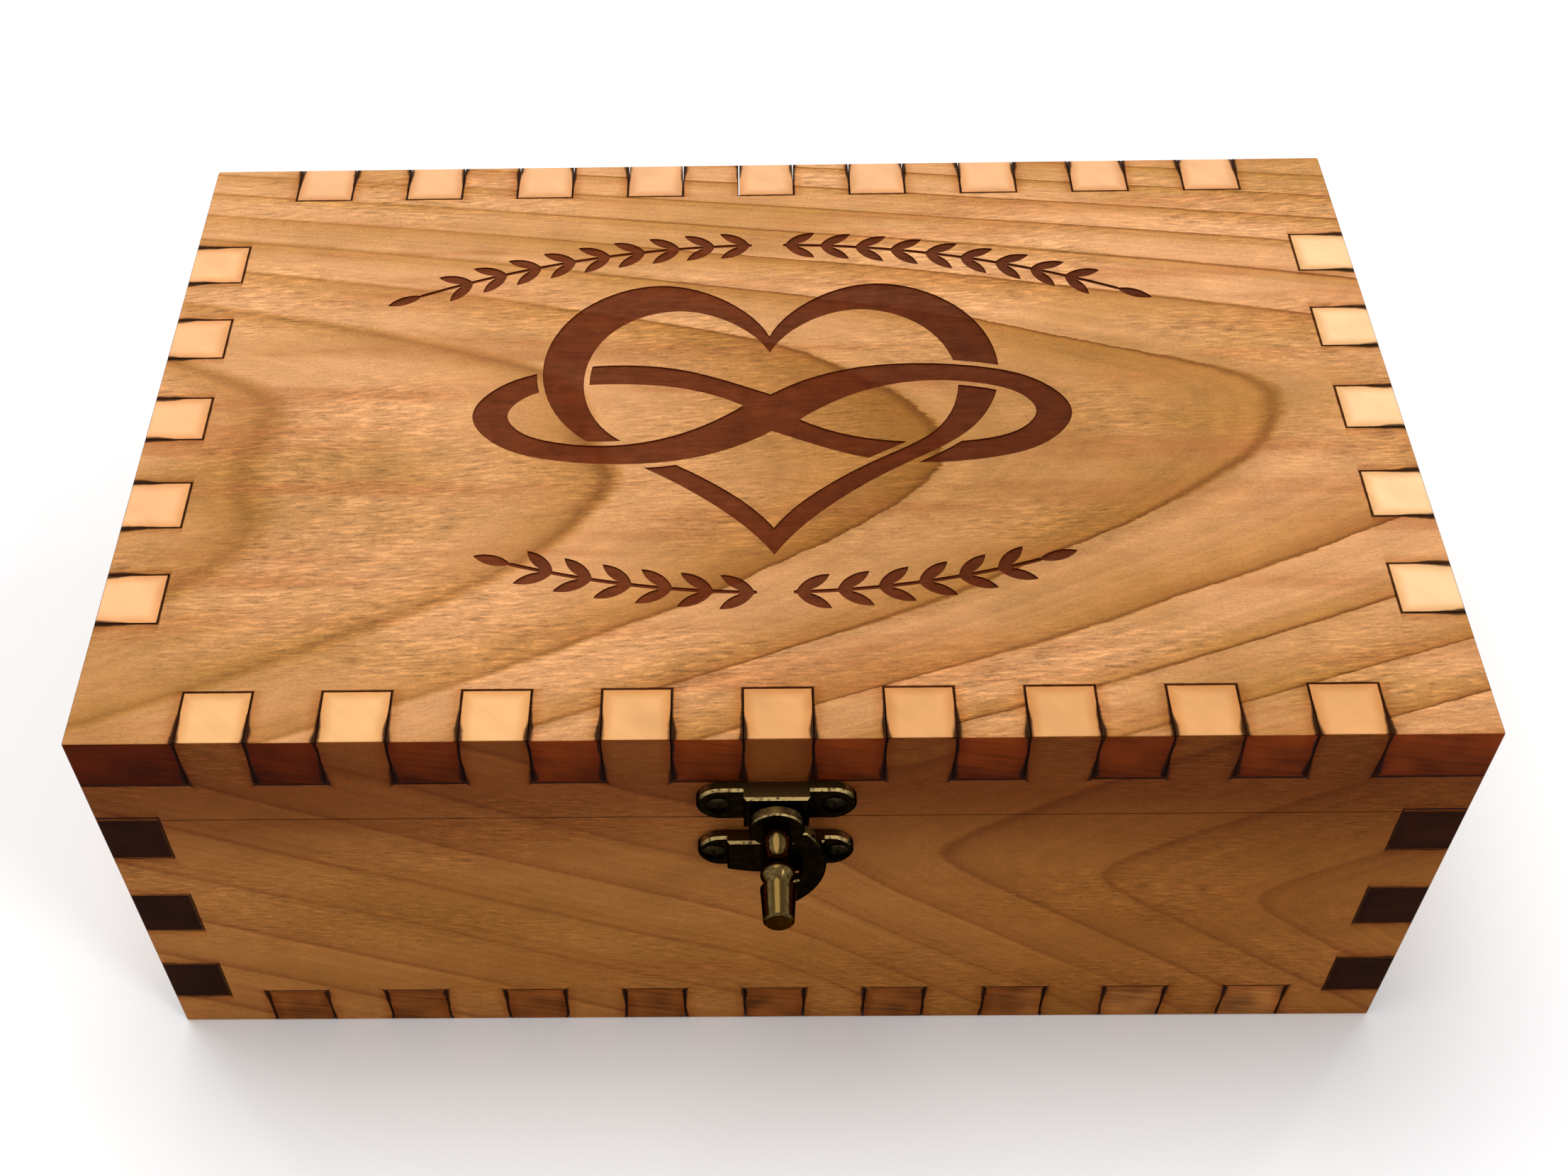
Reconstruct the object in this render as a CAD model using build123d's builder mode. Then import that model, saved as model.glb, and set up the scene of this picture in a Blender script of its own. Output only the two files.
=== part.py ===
from build123d import *
import os
from math import asin, degrees, floor, sqrt

# A finger-jointed wooden keepsake box with a lid on two small butt hinges and a swing-hook latch.
# Millimetres. +X is the right-hand side seen from the front, +Y the back, +Z up.
# The origin is the middle of the underside.

# ---- Boards ----
box_width = 276.0
box_depth = 186.0
box_height = 103.2
board_thickness = 12.7
lid_height = 24.5
parting_gap = 0.3
arris = 0.6

# ---- Finger joints ----
finger_width = 13.7
finger_spacing = 13.7
joint_gap = 0.25
corner_block = 20.0
upright_end = 9.0
least_finger = 3.0

# ---- Engraving in the top board ----
engraving_depth = 0.4
heart_half_width = 51.4
loop_half_length = 66.2
weave_gap = 1.3
spray_leaf_length = 8.6
spray_leaf_width = 2.9
spray_leaf_lean = 34.0
spray_leaf_pitch = 8.4
spray_stem_width = 1.0
upper_spray_height = 60.0
upper_spray_radius = 195.0
upper_spray_half_length = 90.0
lower_spray_height = -54.5
lower_spray_radius = 178.0
lower_spray_half_length = 63.0

# ---- Latch ----
latch_offset = -0.3
pivot_rise = 5.7
latch_plate_span = 31.8
latch_plate_height = 9.5
latch_plate_thickness = 2.1
plate_bevel = 0.5
pivot_screw_spacing = 22.9
keeper_screw_spacing = 25.2
pivot_plate_rise = 0.8
bridge_width = 13.0
bridge_height = 4.3
rivet_pocket_depth = 2.2
rivet_pocket_radius = 3.5
rivet_head_radius = 2.4
rivet_head_thickness = 0.8
shank_radius = 1.1
running_gap = 0.05
seat_gap = 0.02
end_play = 0.15
spacer_radius = 1.65
hook_standoff = 6.0
hook_thickness = 2.0
hook_disc_radius = 5.5
hook_back_radius = 17.0
hook_back_offset = 6.95
hook_back_drop = 12.0
hook_bevel = 0.3
throat_reach = 5.1
throat_clearance = 0.5
hook_toe_reach = 2.4
hook_toe_angle = -57.0
hook_toe_bulge = 1.8
hook_shoulder_angle = 40.0
hook_eye_angle = -52.0
keeper_drop = 14.95
keeper_block_gap = 0.2
keeper_block_height = 3.3
keeper_block_bulge = 1.3
keeper_neck_radius = 2.1
keeper_head_radius = 2.7
keeper_head_gap = 0.3
keeper_head_thickness = 1.3
keeper_head_rim = 0.4
keeper_shank_radius = 1.3
knob_length = 21.5
knob_belly_radius = 2.75
knob_belly_place = 3.7
knob_waist_radius = 2.45
knob_waist_place = 8.0
knob_ring_radius = 3.4
knob_ring_place = 10.6
knob_shoulder_radius = 2.75
knob_shoulder_place = 12.0
knob_neck_radius = 2.2
knob_neck_place = 13.4
knob_cone_lip = 0.4
knob_cone_radius = 3.5
knob_end_radius = 3.0
knob_end_rounding = 0.4

# ---- Latch screws ----
latch_screw_head_radius = 2.5
latch_screw_head_height = 1.0
latch_screw_head_rim = 0.3
latch_screw_radius = 1.1
latch_screw_length = 8.0
recess_width = 0.7
recess_length_share = 1.2

# ---- Hinges ----
hinge_end_distance = 53.0
hinge_leaf_width = 24.0
hinge_leaf_height = 9.6
hinge_leaf_thickness = 1.0
hinge_leaf_corner = 1.5
hinge_knuckle_radius = 1.7
hinge_middle_knuckle = 8.0
hinge_standoff = 0.3
hinge_knuckle_gap = 0.3
hinge_pin_radius = 0.8
hinge_pin_head_radius = 1.2
hinge_pin_head_thickness = 0.5
hinge_screw_spacing = 15.0
hinge_screw_drop = 5.6
hinge_screw_head_radius = 1.9
hinge_screw_head_height = 0.7
hinge_screw_head_rim = 0.2
hinge_screw_radius = 0.9
hinge_screw_length = 7.0
screw_hole_gap = 0.1
pilot_gap = 0.02
pilot_extra_depth = 0.6

os.makedirs("parts", exist_ok=True)

# ---- What follows from the sizes ----
parting_height = box_height - lid_height
body_top = parting_height - parting_gap / 2
lid_bottom = parting_height + parting_gap / 2
top_underside = box_height - board_thickness
inner_width = box_width - 2 * board_thickness
inner_depth = box_depth - 2 * board_thickness
notch_depth = board_thickness + joint_gap
finger_pitch = finger_width + finger_spacing
tab_width = finger_width - 2 * joint_gap
strip_height = top_underside - lid_bottom
strip_tab_height = box_height - lid_bottom
hinge_spacing = box_width - 2 * hinge_end_distance


def finger_count(length, end):
    """Number of fingers along a joint that leaves at least `end` of wood at both ends."""
    return max(1, floor((length - 2 * end + finger_spacing) / finger_pitch))


fingers_across = finger_count(box_width, corner_block)
fingers_deep = finger_count(box_depth, corner_block)
fingers_high = finger_count(top_underside, upright_end)

# The upright joint is laid out over the whole wall, lid strip included, before the lid is sawn off.
first_upright = (top_underside - (fingers_high - 1) * finger_pitch - finger_width) / 2
upright_starts = [
    first_upright + index * finger_pitch
    for index in range(fingers_high)
    if first_upright + index * finger_pitch + least_finger < body_top
]

# Face planes: X runs along the wall, Y up, and the normal points out of the box.
front_face = Plane(origin=(0, -box_depth / 2, 0), x_dir=(1, 0, 0), z_dir=(0, -1, 0))
back_face = Plane(origin=(0, box_depth / 2, 0), x_dir=(-1, 0, 0), z_dir=(0, 1, 0))
left_face = Plane(origin=(-box_width / 2, 0, 0), x_dir=(0, -1, 0), z_dir=(-1, 0, 0))
right_face = Plane(origin=(box_width / 2, 0, 0), x_dir=(0, 1, 0), z_dir=(1, 0, 0))

pivot_height = parting_height + pivot_rise
latch_face = Plane(
    origin=(latch_offset, -box_depth / 2, pivot_height), x_dir=(1, 0, 0), z_dir=(0, -1, 0)
)
keeper_face = Plane(
    origin=(latch_offset, -box_depth / 2, pivot_height - keeper_drop),
    x_dir=(1, 0, 0),
    z_dir=(0, -1, 0),
)
latch_axis = Axis(latch_face.origin, latch_face.z_dir)
keeper_axis = Axis(keeper_face.origin, keeper_face.z_dir)

hinge_faces = [
    Plane(origin=(place, box_depth / 2, parting_height), x_dir=(-1, 0, 0), z_dir=(0, 1, 0))
    for place in (-hinge_spacing / 2, hinge_spacing / 2)
]
hinge_axis_out = hinge_knuckle_radius + hinge_standoff

# The whole box as one block with its outer edges sanded, which every board is trimmed to.
with BuildPart() as sanded_block:
    Box(box_width, box_depth, box_height, align=(Align.CENTER, Align.CENTER, Align.MIN))
    fillet(sanded_block.edges(), radius=arris)


# ---- Body boards ----
pivot_screw_places = [(side * pivot_screw_spacing / 2, pivot_plate_rise) for side in (-1, 1)]
keeper_screw_places = [(side * keeper_screw_spacing / 2, 0) for side in (-1, 1)]
hinge_screw_places = [(side * hinge_screw_spacing / 2, hinge_screw_drop) for side in (-1, 1)]
body_hinge_screw_places = [(x, -drop) for x, drop in hinge_screw_places]
latch_pilot_depth = latch_screw_length - latch_plate_thickness + pilot_extra_depth
hinge_pilot_depth = hinge_screw_length - hinge_leaf_thickness + pilot_extra_depth
latch_pilot = (latch_screw_radius + pilot_gap, latch_pilot_depth)
hinge_pilot = (hinge_screw_radius + pilot_gap, hinge_pilot_depth)

for name, face, pilot_planes, pilot_places, (pilot_radius, pilot_depth) in (
    ("front_panel", front_face, [keeper_face], keeper_screw_places, latch_pilot),
    ("back_panel", back_face, hinge_faces, body_hinge_screw_places, hinge_pilot),
):
    with BuildPart() as long_wall:
        with BuildSketch(face):
            with Locations((0, body_top / 2)):
                Rectangle(box_width, body_top)
            with Locations(*[(side * box_width / 2, start + finger_width / 2)
                             for side in (-1, 1) for start in upright_starts]):
                Rectangle(2 * notch_depth, finger_width, mode=Mode.SUBTRACT)
            with GridLocations(finger_pitch, board_thickness, fingers_across, 1):
                Rectangle(finger_width, 2 * notch_depth, mode=Mode.SUBTRACT)
        extrude(amount=-board_thickness)
        add(sanded_block.part, mode=Mode.INTERSECT)
        with BuildSketch(*pilot_planes):
            with Locations(*pilot_places):
                Circle(pilot_radius)
        extrude(amount=-pilot_depth, mode=Mode.SUBTRACT)
    long_wall.part.label = name
    export_step(long_wall.part, f"parts/{name}.step")

for name, face in (("left_panel", left_face), ("right_panel", right_face)):
    with BuildPart() as short_wall:
        with BuildSketch(face):
            with Locations((0, body_top / 2)):
                Rectangle(inner_depth, body_top)
            for start in upright_starts:
                tab_bottom = start + joint_gap
                tab_top = min(start + finger_width - joint_gap, body_top)
                with Locations((0, (tab_bottom + tab_top) / 2)):
                    Rectangle(box_depth, tab_top - tab_bottom)
            with GridLocations(finger_pitch, board_thickness, fingers_deep, 1):
                Rectangle(finger_width, 2 * notch_depth, mode=Mode.SUBTRACT)
        extrude(amount=-board_thickness)
        add(sanded_block.part, mode=Mode.INTERSECT)
    short_wall.part.label = name
    export_step(short_wall.part, f"parts/{name}.step")

with BuildPart() as bottom_panel:
    with BuildSketch():
        Rectangle(inner_width, inner_depth)
        with GridLocations(finger_pitch, board_thickness, fingers_across, 1):
            Rectangle(tab_width, box_depth)
        with GridLocations(board_thickness, finger_pitch, 1, fingers_deep):
            Rectangle(box_width, tab_width)
    extrude(amount=board_thickness)
    add(sanded_block.part, mode=Mode.INTERSECT)
bottom_panel.part.label = "bottom_panel"
export_step(bottom_panel.part, "parts/bottom_panel.step")


# ---- Lid strips ----
for name, face, pilot_planes, pilot_places, (pilot_radius, pilot_depth) in (
    ("lid_front_strip", front_face, [latch_face], pivot_screw_places, latch_pilot),
    ("lid_back_strip", back_face, hinge_faces, hinge_screw_places, hinge_pilot),
):
    with BuildPart() as long_strip:
        with BuildSketch(face):
            with Locations((0, lid_bottom + strip_height / 2)):
                Rectangle(box_width, strip_height)
            with Locations((0, lid_bottom + strip_tab_height / 2)):
                with GridLocations(finger_pitch, board_thickness, fingers_across, 1):
                    Rectangle(tab_width, strip_tab_height)
        extrude(amount=-board_thickness)
        add(sanded_block.part, mode=Mode.INTERSECT)
        with BuildSketch(*pilot_planes):
            with Locations(*pilot_places):
                Circle(pilot_radius)
        extrude(amount=-pilot_depth, mode=Mode.SUBTRACT)
    long_strip.part.label = name
    export_step(long_strip.part, f"parts/{name}.step")

for name, face in (("lid_left_strip", left_face), ("lid_right_strip", right_face)):
    with BuildPart() as short_strip:
        with BuildSketch(face):
            with Locations((0, lid_bottom + strip_height / 2)):
                Rectangle(inner_depth, strip_height)
            with Locations((0, lid_bottom + strip_tab_height / 2)):
                with GridLocations(finger_pitch, board_thickness, fingers_deep, 1):
                    Rectangle(tab_width, strip_tab_height)
        extrude(amount=-board_thickness)
        add(sanded_block.part, mode=Mode.INTERSECT)
    short_strip.part.label = name
    export_step(short_strip.part, f"parts/{name}.step")


# ---- Engraving: a heart laced with an endless loop, between two leaf sprays ----
# Half outlines, as shares of the figure's half width or half length. Each runs from the middle
# of the top round the left to the middle of the bottom. The loop's hole closes on itself.
HEART_OUTER = [
    (0, 0.506), (-0.156, 0.728), (-0.486, 0.874), (-0.817, 0.735), (-1, 0.292),
    (-0.856, -0.105), (-0.545, -0.334), (-0.249, -0.559), (0, -0.854),
]
HEART_INNER = [
    (0, 0.393), (-0.156, 0.593), (-0.409, 0.689), (-0.661, 0.588), (-0.815, 0.175),
    (-0.700, -0.117), (-0.467, -0.283), (-0.218, -0.459), (0, -0.700),
]
LOOP_OUTER = [
    (0, 0.091), (-0.121, 0.150), (-0.302, 0.222), (-0.514, 0.249), (-0.725, 0.227),
    (-0.906, 0.154), (-1, 0.003), (-0.906, -0.148), (-0.725, -0.221), (-0.514, -0.244),
    (-0.302, -0.227), (-0.121, -0.166), (0, -0.091),
]
LOOP_HOLE = [
    (-0.094, 0.036), (-0.181, 0.085), (-0.302, 0.127), (-0.514, 0.151), (-0.725, 0.132),
    (-0.846, 0.071), (-0.882, 0), (-0.846, -0.073), (-0.725, -0.133), (-0.514, -0.153),
    (-0.302, -0.100), (-0.181, -0.032),
]


def grown(outline, size, growth):
    """A closed outline's points at their real size, each pushed out by `growth`."""
    points = [Vector(share_x * size, share_y * size) for share_x, share_y in outline]
    befores = points[-1:] + points[:-1]
    afters = points[1:] + points[:1]
    moved = []
    for before, point, after in zip(befores, points, afters):
        along = (after - before).normalized()
        moved.append(point + Vector(along.Y, -along.X) * growth)
    return moved


def heart_face(half, growth):
    """A heart's filled outline, symmetric about the middle."""
    other_half = [(-share_x, share_y) for share_x, share_y in reversed(half[1:-1])]
    points = grown(half + other_half, heart_half_width, growth)
    with BuildSketch() as heart:
        with BuildLine():
            Spline(*points[:len(half)])
            mirror(about=Plane.YZ)
        make_face()
    return heart.sketch


def heart_band(growth):
    """The heart's stroke, widened by `growth` on both sides."""
    with BuildSketch() as band:
        add(heart_face(HEART_OUTER, growth))
        add(heart_face(HEART_INNER, -growth), mode=Mode.SUBTRACT)
    return band.sketch


def loop_band(growth):
    """The endless loop's stroke, widened by `growth`: a left half, and the same turned round."""
    other_half = [(-share_x, -share_y) for share_x, share_y in LOOP_OUTER[1:-1]]
    outer = grown(LOOP_OUTER + other_half, loop_half_length, growth)[:len(LOOP_OUTER)]
    hole = grown(LOOP_HOLE, loop_half_length, -growth)
    with BuildSketch() as half:
        with BuildLine():
            Spline(*outer)
            Line(outer[-1], outer[0])
        make_face()
        with BuildLine():
            Spline(*hole, hole[0])
        make_face(mode=Mode.SUBTRACT)
    with BuildSketch() as band:
        add(half.sketch)
        add(half.sketch.rotate(Axis.Z, 180))
    return band.sketch


def laced(under, over, quadrants):
    """`under` with a gap where `over` crosses it in the two named quarters of the figure."""
    reach = 2 * loop_half_length
    with BuildSketch() as crossing:
        add(over)
        with Locations(*[(-x * reach / 2, y * reach / 2) for x, y in quadrants]):
            Rectangle(reach, reach, mode=Mode.SUBTRACT)
    with BuildSketch() as cut:
        add(under)
        add(crossing.sketch, mode=Mode.SUBTRACT)
    return cut.sketch


heart = laced(heart_band(0), loop_band(weave_gap), [(-1, -1), (1, 1)])
loop = laced(loop_band(0), heart_band(weave_gap), [(-1, 1), (1, -1)])

with BuildSketch() as leaf:
    with BuildLine():
        ThreePointArc((0, 0), (spray_leaf_length / 2, spray_leaf_width / 2), (spray_leaf_length, 0))
        ThreePointArc((spray_leaf_length, 0), (spray_leaf_length / 2, -spray_leaf_width / 2), (0, 0))
    make_face()


def leaf_spray(height, radius, reach, bow):
    """Two leafy stems that grow away from the middle along one arc.

    height is the arc's Y at the middle, radius its radius, reach how far the leaf at a stem's
    end reaches from the middle, and bow is 1 for an arc whose centre lies in front of it and
    -1 for one whose centre lies behind it.
    """
    half_angle = degrees(asin((reach - spray_leaf_length) / radius))
    pitch_angle = degrees(spray_leaf_pitch / radius)
    first_angle = pitch_angle / 2
    pairs = floor((half_angle - first_angle) / pitch_angle)
    with BuildSketch() as spray:
        with Locations((0, height - bow * radius)):
            for side in (-1, 1):
                with BuildLine(mode=Mode.PRIVATE) as stem:
                    CenterArc((0, 0), radius, bow * 90 - side * bow * first_angle,
                              -side * bow * (half_angle - first_angle))
                SlotArc(stem.edges()[0], height=spray_stem_width)
                leaves = [
                    (first_angle + index * pitch_angle, lean)
                    for index in range(pairs)
                    for lean in (-spray_leaf_lean, spray_leaf_lean)
                ]
                for along, lean in leaves + [(half_angle, 0)]:
                    place = Vector(0, bow * radius).rotate(Axis.Z, -side * bow * along)
                    heading = (0 if side > 0 else 180) - side * bow * along
                    with Locations(Location((place.X, place.Y, 0), (0, 0, heading + lean))):
                        add(leaf.sketch)
    return spray.sketch


upper_spray = leaf_spray(upper_spray_height, upper_spray_radius, upper_spray_half_length, 1)
lower_spray = leaf_spray(lower_spray_height, lower_spray_radius, lower_spray_half_length, -1)

with BuildPart() as lid_top_panel:
    with BuildSketch(Plane.XY.offset(top_underside)):
        Rectangle(box_width, box_depth)
        with GridLocations(finger_pitch, box_depth, fingers_across, 2):
            Rectangle(finger_width, 2 * notch_depth, mode=Mode.SUBTRACT)
        with GridLocations(box_width, finger_pitch, 2, fingers_deep):
            Rectangle(2 * notch_depth, finger_width, mode=Mode.SUBTRACT)
    extrude(amount=board_thickness)
    add(sanded_block.part, mode=Mode.INTERSECT)
    with BuildSketch(Plane.XY.offset(box_height)):
        add(heart)
        add(loop)
        add(upper_spray)
        add(lower_spray)
    extrude(amount=-engraving_depth, mode=Mode.SUBTRACT)
lid_top_panel.part.label = "lid_top_panel"
export_step(lid_top_panel.part, "parts/lid_top_panel.step")


# ---- Latch ----
def cap_radius(rim_radius, rise):
    """Radius of the sphere whose cap has this rim and this rise."""
    return (rim_radius**2 + rise**2) / (2 * rise)


def wood_screw(head_radius, head_height, rim, shank_radius, length):
    """A cross-recess screw along Z: the head's underside at 0, the point at -length."""
    point_length = 2 * shank_radius
    recess_length = recess_length_share * head_radius
    with BuildPart() as screw:
        with BuildSketch(Plane.XZ):
            with BuildLine():
                Polyline((0, head_height), (0, -length), (shank_radius, point_length - length),
                         (shank_radius, 0), (head_radius, 0), (head_radius, rim))
                RadiusArc((head_radius, rim), (0, head_height),
                          -cap_radius(head_radius, head_height - rim))
            make_face()
        revolve(axis=Axis.Z)
        with BuildSketch(Plane.XY.offset(head_height)):
            Rectangle(recess_length, recess_width)
            Rectangle(recess_width, recess_length)
        extrude(amount=rim - head_height, mode=Mode.SUBTRACT)
    return screw.part


latch_screw = wood_screw(
    latch_screw_head_radius, latch_screw_head_height, latch_screw_head_rim,
    latch_screw_radius, latch_screw_length,
)
hinge_screw = wood_screw(
    hinge_screw_head_radius, hinge_screw_head_height, hinge_screw_head_rim,
    hinge_screw_radius, hinge_screw_length,
)

with BuildPart() as latch_pivot_plate:
    with BuildSketch(latch_face):
        with Locations((0, pivot_plate_rise)):
            SlotOverall(latch_plate_span, latch_plate_height)
    extrude(amount=latch_plate_thickness)
    chamfer(latch_pivot_plate.faces().sort_by(Axis.Y)[0].edges(), length=plate_bevel)
    with BuildSketch(latch_face):
        with Locations((0, pivot_plate_rise)):
            Rectangle(bridge_width, latch_plate_height)
    extrude(amount=bridge_height)
    chamfer(latch_pivot_plate.faces().sort_by(Axis.Y)[0].edges(), length=plate_bevel)
    with BuildSketch(latch_face):
        Circle(rivet_pocket_radius)
    extrude(amount=rivet_pocket_depth, mode=Mode.SUBTRACT)
    with BuildSketch(latch_face):
        Circle(shank_radius + running_gap)
        with Locations(*pivot_screw_places):
            Circle(latch_screw_radius + screw_hole_gap)
    extrude(amount=bridge_height, mode=Mode.SUBTRACT)
latch_pivot_plate.part.label = "latch_pivot_plate"
export_step(latch_pivot_plate.part, "parts/latch_pivot_plate.step")

with BuildPart(latch_face) as latch_pivot_plate_screws:
    with Locations(*[(x, y, latch_plate_thickness) for x, y in pivot_screw_places]):
        add(latch_screw)
latch_pivot_plate_screws.part.label = "latch_pivot_plate_screws"
export_step(latch_pivot_plate_screws.part, "parts/latch_pivot_plate_screws.step")

with BuildPart() as latch_spacer:
    with BuildSketch(latch_face.offset(bridge_height + end_play)):
        Circle(spacer_radius)
        Circle(shank_radius + seat_gap, mode=Mode.SUBTRACT)
    extrude(amount=hook_standoff - bridge_height - end_play)
latch_spacer.part.label = "latch_spacer"
export_step(latch_spacer.part, "parts/latch_spacer.step")

# The hook, seen from the front about its pivot: a round eye and a crescent whose back is one arc.
# The throat is open to the left, between two arcs about the pivot that clear the keeper's neck.
throat_depth = keeper_drop + keeper_neck_radius + throat_clearance
back_centre = Vector(-hook_back_offset, -hook_back_drop)


def back_point(angle):
    """A point of the crescent's back, at an angle in degrees from the right."""
    return back_centre + Vector(hook_back_radius, 0).rotate(Axis.Z, angle)


def eye_point(angle):
    """A point of the eye's rim, at an angle in degrees from the right."""
    return Vector(hook_disc_radius, 0).rotate(Axis.Z, angle)


toe_end = Vector(0, -throat_depth).rotate(Axis.Z, -degrees(asin(hook_toe_reach / throat_depth)))
throat_corner_reach = throat_reach - throat_clearance
throat_corner = Vector(throat_corner_reach, -sqrt(throat_depth**2 - throat_corner_reach**2))
eye_corner = eye_point(hook_eye_angle)
throat_side = Vector(throat_reach, (throat_corner.Y + eye_corner.Y) / 2)
back_start = back_point(hook_shoulder_angle)
back_end = back_point(hook_toe_angle)

with BuildPart() as latch_hook:
    with BuildSketch(latch_face.offset(hook_standoff)):
        with BuildLine():
            Line(eye_corner, (0, 0))
            Line((0, 0), back_start)
            ThreePointArc(back_start, back_point(0), back_end)
            SagittaArc(back_end, toe_end, hook_toe_bulge)
            ThreePointArc(toe_end, (0, -throat_depth), throat_corner)
            ThreePointArc(throat_corner, throat_side, eye_corner)
        make_face()
        Circle(hook_disc_radius)
        Circle(shank_radius + seat_gap, mode=Mode.SUBTRACT)
    extrude(amount=hook_thickness)
    chamfer(latch_hook.faces().sort_by(Axis.Y)[0].outer_wire().edges(), length=hook_bevel)
latch_hook.part.label = "latch_hook"
export_step(latch_hook.part, "parts/latch_hook.step")

# The knob, its shank and the rivet head behind the bridge, turned about the pivot.
knob_root = hook_standoff + hook_thickness
rivet_front = rivet_pocket_depth - end_play
rivet_back = rivet_front - rivet_head_thickness
knob_end = knob_root + knob_length
turning_plane = Plane(origin=latch_face.origin, x_dir=(0, -1, 0), z_dir=(0, 0, 1))

with BuildPart() as latch_knob:
    with BuildSketch(turning_plane):
        with BuildLine():
            Polyline(
                (knob_end - knob_end_rounding, knob_end_radius),
                (knob_end, knob_end_radius - knob_end_rounding),
                (knob_end, 0),
                (rivet_back, 0),
                (rivet_back, rivet_head_radius - rivet_head_thickness / 2),
                (rivet_front - rivet_head_thickness / 2, rivet_head_radius),
                (rivet_front, rivet_head_radius),
                (rivet_front, shank_radius),
                (knob_root, shank_radius),
                (knob_root, knob_waist_radius),
            )
            Spline(
                (knob_root, knob_waist_radius),
                (knob_root + knob_belly_place, knob_belly_radius),
                (knob_root + knob_waist_place, knob_waist_radius),
                (knob_root + knob_ring_place, knob_ring_radius),
                (knob_root + knob_shoulder_place, knob_shoulder_radius),
                (knob_root + knob_neck_place, knob_neck_radius),
            )
            Polyline(
                (knob_root + knob_neck_place, knob_neck_radius),
                (knob_root + knob_neck_place + knob_cone_lip, knob_cone_radius),
                (knob_end - knob_end_rounding, knob_end_radius),
            )
        make_face()
    revolve(axis=latch_axis)
latch_knob.part.label = "latch_knob"
export_step(latch_knob.part, "parts/latch_knob.step")

block_half = keeper_screw_spacing / 2 - latch_screw_head_radius - keeper_block_gap
block_bottom = -latch_plate_height / 2

with BuildPart() as latch_keeper_plate:
    with BuildSketch(keeper_face):
        SlotOverall(latch_plate_span, latch_plate_height)
    extrude(amount=latch_plate_thickness)
    chamfer(latch_keeper_plate.faces().sort_by(Axis.Y)[0].edges(), length=plate_bevel)
    with BuildSketch(keeper_face):
        with BuildLine():
            Polyline((block_half, block_bottom), (block_half, -block_bottom),
                     (-block_half, -block_bottom), (-block_half, block_bottom))
            ThreePointArc((-block_half, block_bottom), (0, block_bottom - keeper_block_bulge),
                          (block_half, block_bottom))
        make_face()
    extrude(amount=keeper_block_height)
    chamfer(latch_keeper_plate.faces().sort_by(Axis.Y)[0].edges(), length=plate_bevel)
    with BuildSketch(keeper_face):
        Circle(keeper_shank_radius + seat_gap)
        with Locations(*keeper_screw_places):
            Circle(latch_screw_radius + screw_hole_gap)
    extrude(amount=keeper_block_height, mode=Mode.SUBTRACT)
latch_keeper_plate.part.label = "latch_keeper_plate"
export_step(latch_keeper_plate.part, "parts/latch_keeper_plate.step")

with BuildPart(keeper_face) as latch_keeper_plate_screws:
    with Locations(*[(x, y, latch_plate_thickness) for x, y in keeper_screw_places]):
        add(latch_screw)
latch_keeper_plate_screws.part.label = "latch_keeper_plate_screws"
export_step(latch_keeper_plate_screws.part, "parts/latch_keeper_plate_screws.step")

keeper_head_base = knob_root + keeper_head_gap
keeper_head_end = keeper_head_base + keeper_head_thickness
keeper_turning_plane = Plane(origin=keeper_face.origin, x_dir=(0, -1, 0), z_dir=(0, 0, 1))

with BuildPart() as latch_keeper_post:
    with BuildSketch(keeper_turning_plane):
        with BuildLine():
            Polyline(
                (keeper_head_end, 0),
                (0, 0),
                (0, keeper_shank_radius),
                (keeper_block_height, keeper_shank_radius),
                (keeper_block_height, keeper_neck_radius),
                (keeper_head_base, keeper_neck_radius),
                (keeper_head_base, keeper_head_radius),
                (keeper_head_base + keeper_head_rim, keeper_head_radius),
            )
            RadiusArc(
                (keeper_head_base + keeper_head_rim, keeper_head_radius),
                (keeper_head_end, 0),
                cap_radius(keeper_head_radius, keeper_head_thickness - keeper_head_rim),
            )
        make_face()
    revolve(axis=keeper_axis)
latch_keeper_post.part.label = "latch_keeper_post"
export_step(latch_keeper_post.part, "parts/latch_keeper_post.step")


# ---- Hinges ----
knuckle_clearance = hinge_knuckle_radius + hinge_knuckle_gap
outer_knuckle = (hinge_leaf_width - hinge_middle_knuckle) / 2 - hinge_knuckle_gap
outer_knuckle_centre = (hinge_leaf_width - outer_knuckle) / 2
leaf_face_height = hinge_leaf_height - knuckle_clearance
web_height = knuckle_clearance - parting_gap / 2
leaf_bottom_middle = knuckle_clearance + leaf_face_height / 2
web_middle = (knuckle_clearance + parting_gap / 2) / 2


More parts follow.
